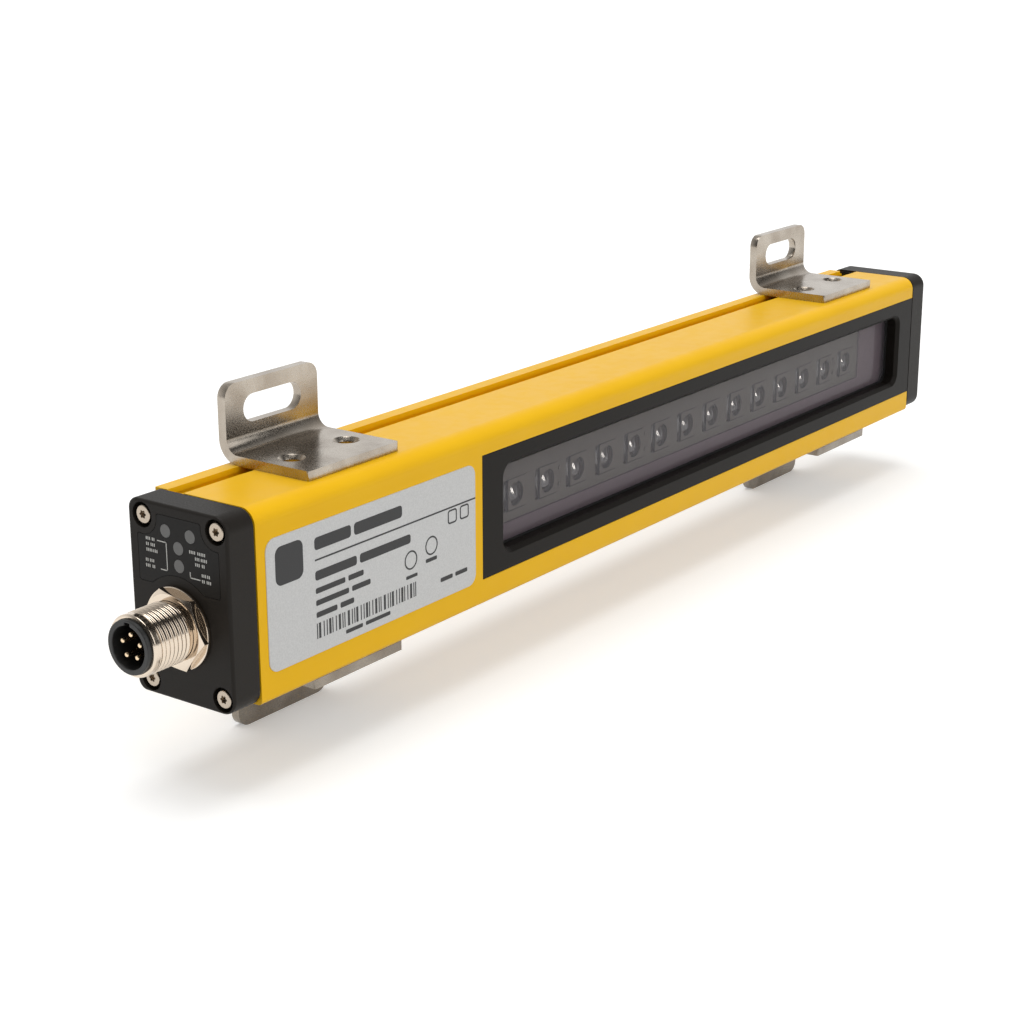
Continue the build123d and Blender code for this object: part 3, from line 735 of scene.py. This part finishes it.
class StatusPanelOperator(bpy.types.Operator):
    """Print the status panel and finish its light guide"""

    bl_idname = "light_curtain.status_panel"
    bl_label = "Status panel"

    # Rows of plain ticks beside the lights, in millimetres: u from the front of the bar, v from its
    # middle, and the lengths of the groups
    ROWS = (
        (-20.6, 11.5, (1.3, 1.0)), (-20.6, 10.4, (0.9, 1.2)), (-20.6, 9.3, (1.5, 1.1)),
        (-20.9, 7.3, (0.8, 1.2)), (-20.9, 6.2, (1.4, 0.9)),
        (-9.6, 10.9, (1.8, 2.0)), (-8.2, 9.8, (1.2, 1.5)), (-8.2, 8.7, (1.4, 1.0)),
        (-6.7, 6.9, (1.1, 0.8)), (-6.7, 5.8, (0.9, 1.3)),
    )
    ROW_HEIGHT = 0.6
    # Thin lines that join the rows to the lights
    LINES = (
        ((-17.6, 11.8), (-15.4, 11.8)), ((-15.4, 11.8), (-15.4, 6.4)),
        ((-15.4, 6.4), (-17.0, 6.4)), ((-9.6, 7.2), (-9.6, 6.2)), ((-9.6, 6.2), (-7.2, 6.2)),
    )
    LINE_WIDTH = 0.2

    def execute(self, context):
        printing = context.scene.light_curtain_printing
        ink = printing.ink_height / MM
        sheet = Sheet((NEAR_X, FRONT_Y, MIDDLE_Z), (0, -1, 0), (0, 0, 1))
        marks = bmesh.new()
        for u, v, words in self.ROWS:
            tick_row(marks, sheet, u, v, self.ROW_HEIGHT, words, ink)
        width = self.LINE_WIDTH
        for start, end in self.LINES:
            low = [min(a, b) - width / 2 for a, b in zip(start, end)]
            size = [abs(a - b) + width for a, b in zip(start, end)]
            prism(marks, sheet, rectangle(*low, *size), 0, ink)
        white = screen_ink("White ink", printing.status_ink)
        add_piece("status_print", marks, white, "status_film")
        dress(printed_film(context.scene.light_curtain_finish), "status_overlay")
        # Moulded and milky, so that an unlit light is an even mid grey
        guide = matt_finish("Diffusing acrylic", "#6a6967", roughness=0.35, grain=0.5)
        dress(guide, "status_light_guide")
        return {"FINISHED"}


class ConnectorOperator(bpy.types.Operator):
    """Cut the thread of the round connector and finish its parts"""

    bl_idname = "light_curtain.connector"
    bl_label = "Connector"

    COLLAR_HEIGHT = 0.85  # share of the thread's ridge
    END_DROP = 0.05 * MM  # how far below the thread's root its two ends start

    def execute(self, context):
        finish = context.scene.light_curtain_finish
        part = context.scene.light_curtain_connector
        axis = Vector((NEAR_X, FRONT_Y + part.inset, MIDDLE_Z - part.drop))
        brass = nickel_plate(finish, "Nickel-plated brass", roughness=0.17)
        add_piece("threaded_shell", self.threaded_shell(part, axis), brass, "nickel_plating",
                  "connector_shell", smooth_angle=35)
        nut = nickel_plate(finish, "Nickel-plated nut", roughness=0.12)
        dress(nut, "connector_nut", "connector_washer")
        soften(0.15, "connector_nut", "connector_washer")
        dress(nitrile_rubber(), "connector_o_ring")
        # Moulded nylon, black with a soft shine
        carrier = matt_finish("Contact carrier", "#1d1d1c", roughness=0.42, grain=0.3)
        dress(carrier, "connector_insert")
        soften(0.2, "connector_insert")
        dress(gold_plate(finish), "connector_pins")
        return {"FINISHED"}

    def threaded_shell(self, part, axis):
        """A tube with a helical ridge outside, a plain bore and a grooved flange behind the cap."""
        shape = bmesh.new()
        root = part.thread_radius - part.thread_depth
        length = part.reach - part.plain

        def ring(x, radius_at):
            made = []
            for i in range(part.segments):
                turn = i / part.segments
                angle, radius = 2 * math.pi * turn, radius_at(turn)
                spot = Vector((x, radius * math.cos(angle), radius * math.sin(angle)))
                made.append(shape.verts.new(axis + spot))
            return made

        def ridge(x, turn):
            """Radius of the thread: a rolled, rounded ridge that starts behind a plain collar."""
            from_tip, from_nut = x + part.reach, -part.plain - x
            wave = 0.5 + 0.5 * math.cos(2 * math.pi * (x / part.thread_pitch - turn))
            fade = min(1.0, max(0.0, (from_tip - part.collar) / part.thread_pitch))
            height = (1 - fade) * self.COLLAR_HEIGHT + fade * wave
            rise = min(from_tip, from_nut, part.thread_depth + self.END_DROP)
            return min(root + height * part.thread_depth, root - self.END_DROP + rise)

        steps = round(length / part.thread_pitch * part.steps)
        rings = []
        for k in range(steps + 1):
            x = -part.reach + length * k / steps
            rings.append(ring(x, lambda turn, x=x: ridge(x, turn)))
        back, groove_end = part.wall + part.flange_thickness, part.wall + part.groove_depth
        for x, radius in (
            (-part.plain, part.shank_radius), (part.wall, part.shank_radius),
            (part.wall, part.groove_low), (groove_end, part.groove_low),
            (groove_end, part.groove_high), (part.wall, part.groove_high),
            (part.wall, part.flange_radius), (back, part.flange_radius), (back, part.bore),
            (-part.reach, part.bore),
        ):
            rings.append(ring(x, lambda turn, radius=radius: radius))
        for near, far in zip(rings, rings[1:] + rings[:1]):
            bridge(shape, near, far)
        return shape


class NamePlateOperator(bpy.types.Operator):
    """Make the name plate, with plain bars in place of words"""

    bl_idname = "light_curtain.name_plate"
    bl_label = "Name plate"

    # All in millimetres from the plate's lower left corner. Rows of plain bars: left end, foot,
    # height and bar lengths
    ROWS = (
        (13.2, 20.6, 2.5, (10.5, 14.5)), (13.2, 14.6, 1.9, (12.0, 15.5)),
        (13.2, 12.0, 1.1, (8.5, 4.5)), (13.2, 9.6, 1.1, (9.5, 5.5)),
        (13.2, 7.2, 1.1, (6.0, 4.0)), (21.5, 1.5, 0.8, (5.0, 7.5)),
        (51.0, 3.6, 0.9, (4.0, 4.0)), (40.0, 7.2, 0.7, (3.6,)), (46.3, 9.0, 0.8, (3.6,)),
    )
    RULE = (13.2, 18.5, 49.6, 0.35)
    BLOCK = (2.4, 16.4, 7.6, 7.6, 1.6)
    RINGS = ((41.6, 11.0), (48.2, 12.3))
    RING_INNER, RING_OUTER = 1.65, 2.0
    FRAMES = ((53.6, 15.2), (57.6, 15.2))
    FRAME_SIDE, FRAME_LINE, FRAME_INNER_CORNER, FRAME_OUTER_CORNER = 3.0, 0.35, 0.4, 0.7
    CODE_LEFT, CODE_FOOT, CODE_HEIGHT, CODE_BARS = 13.2, 3.0, 3.1, 34
    BAR_WIDTH, BAR_STEP, GAP_WIDTH, GAP_STEP = 0.28, 0.17, 0.3, 0.14

    def execute(self, context):
        printing = context.scene.light_curtain_printing
        low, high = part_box("name_plate")
        ink = printing.ink_height / MM
        thickness = (high.y - low.y) / MM - ink
        plate, marks = bmesh.new(), bmesh.new()
        sheet = Sheet((low.x, high.y, low.z), (1, 0, 0), (0, 0, 1))
        size = ((high.x - low.x) / MM, (high.z - low.z) / MM)
        self.add_plate(plate, sheet, size, thickness, printing)
        silver = silver_film(context.scene.light_curtain_finish)
        add_piece("label_plate", plate, silver, "name_plate_film", "name_plate")
        face = Sheet(sheet.at(0, 0, thickness), (1, 0, 0), (0, 0, 1))
        self.add_marks(marks, face, ink)
        self.add_code(marks, face, ink)
        black = screen_ink("Black ink", printing.ink)
        add_piece("label_print", marks, black, "name_plate_film")
        return {"FINISHED"}

    @staticmethod
    def add_plate(shape, sheet, size, thickness, printing):
        """A flat plate with rounded corners, and a sloping edge round its face."""
        width, height = size
        edge, corner = printing.plate_edge / MM, printing.plate_corner / MM
        rim = rounded(0, 0, width, height, corner)
        inner = rounded(edge, edge, width - 2 * edge, height - 2 * edge, corner - edge)
        prism(shape, sheet, rim, 0, thickness - edge)
        outer_ring = outline_ring(shape, sheet, rim, thickness - edge)
        inner_ring = outline_ring(shape, sheet, inner, thickness)
        bridge(shape, outer_ring, inner_ring)
        shape.faces.new(inner_ring)
        shape.faces.new(outer_ring)

    def add_marks(self, shape, face, ink):
        """Plain bars, a rule, a block, rings and frames."""
        for u, v, tall, words in self.ROWS:
            word_row(shape, face, u, v, tall, words, ink)
        prism(shape, face, rectangle(*self.RULE), 0, ink)
        prism(shape, face, rounded(*self.BLOCK), 0, ink)
        for centre in self.RINGS:
            inner, outer = circle(centre, self.RING_INNER), circle(centre, self.RING_OUTER)
            band(shape, face, inner, outer, 0, ink)
        side, line = self.FRAME_SIDE, self.FRAME_LINE
        hole = side - 2 * line
        for u, v in self.FRAMES:
            inner = rounded(u + line, v + line, hole, hole, self.FRAME_INNER_CORNER)
            outer = rounded(u, v, side, side, self.FRAME_OUTER_CORNER)
            band(shape, face, inner, outer, 0, ink)

    def add_code(self, shape, face, ink):
        """Upright bars whose widths and gaps repeat by a plain rule, so that they say nothing."""
        u = self.CODE_LEFT
        for i in range(self.CODE_BARS):
            width = self.BAR_WIDTH + self.BAR_STEP * ((i * i + i) % 3)
            prism(shape, face, rectangle(u, self.CODE_FOOT, width, self.CODE_HEIGHT), 0, ink)
            u += width + self.GAP_WIDTH + self.GAP_STEP * ((3 * i) % 4)


class BracketsOperator(bpy.types.Operator):
    """Finish the four brackets, their runners and their pads"""

    bl_idname = "light_curtain.brackets"
    bl_label = "Brackets"

    # Painted shade: the bottom brackets' steel is drawn at 0.6 of the top ones' colour, as they
    # stand in the bar's shadow
    LEVELS_AND_PAINTED_SHADE = (("top", 1.0), ("bottom", 0.6))  # and the share of the steel's colour there

    def execute(self, context):
        finish = context.scene.light_curtain_finish
        brackets, runners, pads = (
            sorted(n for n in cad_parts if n.startswith(kind))
            for kind in ("bracket_", "runner_", "pad_")
        )
        for level, share in self.LEVELS_AND_PAINTED_SHADE:
            # Painted shade: a darker copy of the same steel for the bottom brackets
            shaded_tones = shaded(finish.steel, share), shaded(finish.steel_dark, share)
            steel = tumbled_stainless(f"Tumbled stainless steel, {level}", *shaded_tones)
            dress(steel, *(n for n in brackets + runners if n.endswith(level)))
        soften(0.5, *brackets)
        dress(nitrile_rubber(), *pads)
        return {"FINISHED"}


class StageOperator(bpy.types.Operator):
    """Set the floor, the lamps, the surroundings and the camera"""

    bl_idname = "light_curtain.stage"
    bl_label = "Stage"

    OVERHEAD_FROM = (0.03, 0.05, 1.0)
    FILL_FROM = (0.10, -0.90, 0.42)
    LENS_LAMP_FROM, LENS_LAMP_SIZE = (0.42, -1.12, 0.38), (0.42, 0.80)
    LENS_LAMP_COLOUR = (1.0, 0.93, 0.86)
    BRIGHT_SIDE = (0.45, 0.89, 0.0)
    # How the surroundings brighten in a reflection towards that side, and darken upwards
    BRIGHTER = {"From Min": -0.15, "From Max": 0.5, "To Min": 0.05, "To Max": 1.0}
    DARKER = {"From Min": 0.35, "From Max": 0.8, "To Min": 1.0, "To Max": 0.45}

    def execute(self, context):
        stage = context.scene.light_curtain_stage
        context.scene.view_settings.view_transform = "Standard"
        self.add_floor(stage)
        self.add_surroundings(context, stage)
        self.add_soft_light(
            "Overhead light", self.OVERHEAD_FROM, stage.overhead_strength, stage.overhead_width
        )
        self.add_soft_light("Front fill", self.FILL_FROM, stage.fill_strength, stage.fill_width)
        self.add_lens_lamp(stage)
        self.add_camera(context, stage)
        return {"FINISHED"}

    @staticmethod
    def add_floor(stage):
        """A white floor that keeps the object's shadow, and glows up to clear white when seen."""
        made, tree = new_material("White floor")
        path = add_node(tree, "ShaderNodeLightPath")
        white = linear("#f6f6f5")
        colour = add_node(
            tree, "ShaderNodeMix", {"data_type": "RGBA"},
            {0: path.outputs["Is Diffuse Ray"], 6: white, 7: shaded(white, stage.floor_bounce)},
        ).outputs[2]
        matt = add_node(tree, "ShaderNodeBsdfDiffuse", inputs={"Color": colour})
        seen = path.outputs["Is Camera Ray"]
        for kind in ("Is Glossy Ray", "Is Transmission Ray"):
            seen = add_node(
                tree, "ShaderNodeMath", {"operation": "MAXIMUM"}, {0: seen, 1: path.outputs[kind]}
            ).outputs[0]
        level = add_node(
            tree, "ShaderNodeMath", {"operation": "MULTIPLY"}, {0: seen, 1: stage.floor_lift}
        ).outputs[0]
        lift = add_node(
            tree, "ShaderNodeEmission", inputs={"Color": (1, 1, 1, 1), "Strength": level}
        )
        both = add_node(
            tree, "ShaderNodeAddShader", inputs={0: matt.outputs[0], 1: lift.outputs[0]}
        )
        add_node(tree, "ShaderNodeOutputMaterial", inputs={"Surface": both.outputs[0]})
        side, shape = stage.floor_size, bmesh.new()
        corners = rectangle(-side / 2, -side / 2, side, side)
        shape.faces.new([shape.verts.new((x, y, CAD_BOX[0].z)) for x, y in corners])
        add_mesh("floor", shape, made)

    def add_surroundings(self, context, stage):
        """White behind the object, a grey sweep for its reflections and a plain level of light."""
        world = bpy.data.worlds.new("Surroundings")
        world.use_nodes = True
        tree = world.node_tree
        tree.nodes.clear()
        path = add_node(tree, "ShaderNodeLightPath")
        seen = add_node(
            tree, "ShaderNodeMath", {"operation": "MAXIMUM"},
            {0: path.outputs["Is Camera Ray"], 1: path.outputs["Is Transmission Ray"]},
        ).outputs[0]
        direction = add_node(tree, "ShaderNodeTexCoord").outputs["Generated"]
        toward = add_node(
            tree, "ShaderNodeVectorMath", {"operation": "DOT_PRODUCT"},
            {0: direction, 1: Vector(self.BRIGHT_SIDE).normalized()},
        ).outputs["Value"]
        across = add_node(
            tree, "ShaderNodeMapRange", inputs={"Value": toward, **self.BRIGHTER}
        ).outputs["Result"]
        height = add_node(tree, "ShaderNodeSeparateXYZ", inputs={0: direction}).outputs["Z"]
        upward = add_node(
            tree, "ShaderNodeMapRange", inputs={"Value": height, **self.DARKER}
        ).outputs["Result"]
        sweep = add_node(
            tree, "ShaderNodeMath", {"operation": "MULTIPLY"}, {0: across, 1: upward}
        ).outputs[0]
        reflected = add_node(
            tree, "ShaderNodeMix", {"data_type": "FLOAT"},
            {0: path.outputs["Is Glossy Ray"], 2: stage.sky_level, 3: sweep},
        ).outputs[0]
        level = add_node(
            tree, "ShaderNodeMix", {"data_type": "FLOAT"}, {0: seen, 2: reflected, 3: 1.0}
        ).outputs[0]
        shader = add_node(
            tree, "ShaderNodeBackground", inputs={"Color": (1, 1, 1, 1), "Strength": level}
        )
        add_node(tree, "ShaderNodeOutputWorld", inputs={"Surface": shader.outputs[0]})
        context.scene.world = world

    @staticmethod
    def add_soft_light(name, direction, strength, width):
        """A wide soft light, even over the whole floor, that comes from this direction."""
        data = bpy.data.lights.new(name, "SUN")
        data.energy = strength
        data.angle = width
        lamp = bpy.data.objects.new(name, data)
        lamp.rotation_euler = (-Vector(direction)).to_track_quat("-Z", "Y").to_euler()
        bpy.context.scene.collection.objects.link(lamp)

    def add_lens_lamp(self, stage):
        """A tall lamp in front that shines on the row of lenses only, for their upright glints."""
        data = bpy.data.lights.new("Lens lamp", "AREA")
        data.shape = "RECTANGLE"
        data.size, data.size_y = self.LENS_LAMP_SIZE
        data.energy = stage.lens_lamp_power
        data.color = self.LENS_LAMP_COLOUR
        lamp = bpy.data.objects.new("Lens lamp", data)
        offset = Vector(self.LENS_LAMP_FROM)
        lamp.location = (CAD_BOX[0] + CAD_BOX[1]) / 2 + offset
        lamp.rotation_euler = (-offset).to_track_quat("-Z", "Y").to_euler()
        lamp.visible_diffuse = False
        bpy.context.scene.collection.objects.link(lamp)
        lit = bpy.data.collections.new("Lit by the lens lamp")
        lit.objects.link(bpy.data.objects["lens_array"])
        lamp.light_linking.receiver_collection = lit

    @staticmethod
    def add_camera(context, stage):
        data = bpy.data.cameras.new("Camera")
        data.sensor_width = 36
        data.lens = stage.focal_length
        data.clip_start, data.clip_end = 0.01, 50
        camera = bpy.data.objects.new("Camera", data)
        camera.matrix_world = (
            Matrix.Translation(Vector(stage.camera_place))
            @ Matrix.Rotation(-stage.camera_heading, 4, "Z")
            @ Matrix.Rotation(math.pi / 2 - stage.camera_tilt, 4, "X")
            @ Matrix.Rotation(stage.camera_roll, 4, "Z")
        )
        context.scene.collection.objects.link(camera)
        context.scene.camera = camera


SETTINGS = (
    ("light_curtain_finish", FinishSettings), ("light_curtain_connector", ConnectorSettings),
    ("light_curtain_optics", OpticsSettings), ("light_curtain_printing", PrintSettings),
    ("light_curtain_stage", StageSettings),
)
OPERATORS = (
    HousingOperator, CapsOperator, WindowOperator, OpticsOperator, StatusPanelOperator,
    ConnectorOperator, NamePlateOperator, BracketsOperator, StageOperator,
)


class LightCurtainPanel(bpy.types.Panel):
    """Lists the pieces and their settings"""

    bl_idname = "VIEW3D_PT_light_curtain"
    bl_label = "Light curtain"
    bl_space_type = "VIEW_3D"
    bl_region_type = "UI"
    bl_category = "Light curtain"

    def draw(self, context):
        for operator in OPERATORS:
            self.layout.operator(operator.bl_idname)
        for attribute, group in SETTINGS:
            settings = getattr(context.scene, attribute)
            box = self.layout.box()
            for name in group.__annotations__:
                box.prop(settings, name)


def register():
    for attribute, group in SETTINGS:
        bpy.utils.register_class(group)
        setattr(bpy.types.Scene, attribute, PointerProperty(type=group))
    for operator in OPERATORS:
        bpy.utils.register_class(operator)
    bpy.utils.register_class(LightCurtainPanel)


def unregister():
    bpy.utils.unregister_class(LightCurtainPanel)
    for operator in reversed(OPERATORS):
        bpy.utils.unregister_class(operator)
    for attribute, group in reversed(SETTINGS):
        delattr(bpy.types.Scene, attribute)
        bpy.utils.unregister_class(group)


def main():
    register()
    for operator in OPERATORS:
        group, name = operator.bl_idname.split(".")
        getattr(getattr(bpy.ops, group), name)()


if __name__ == "__main__":
    main()
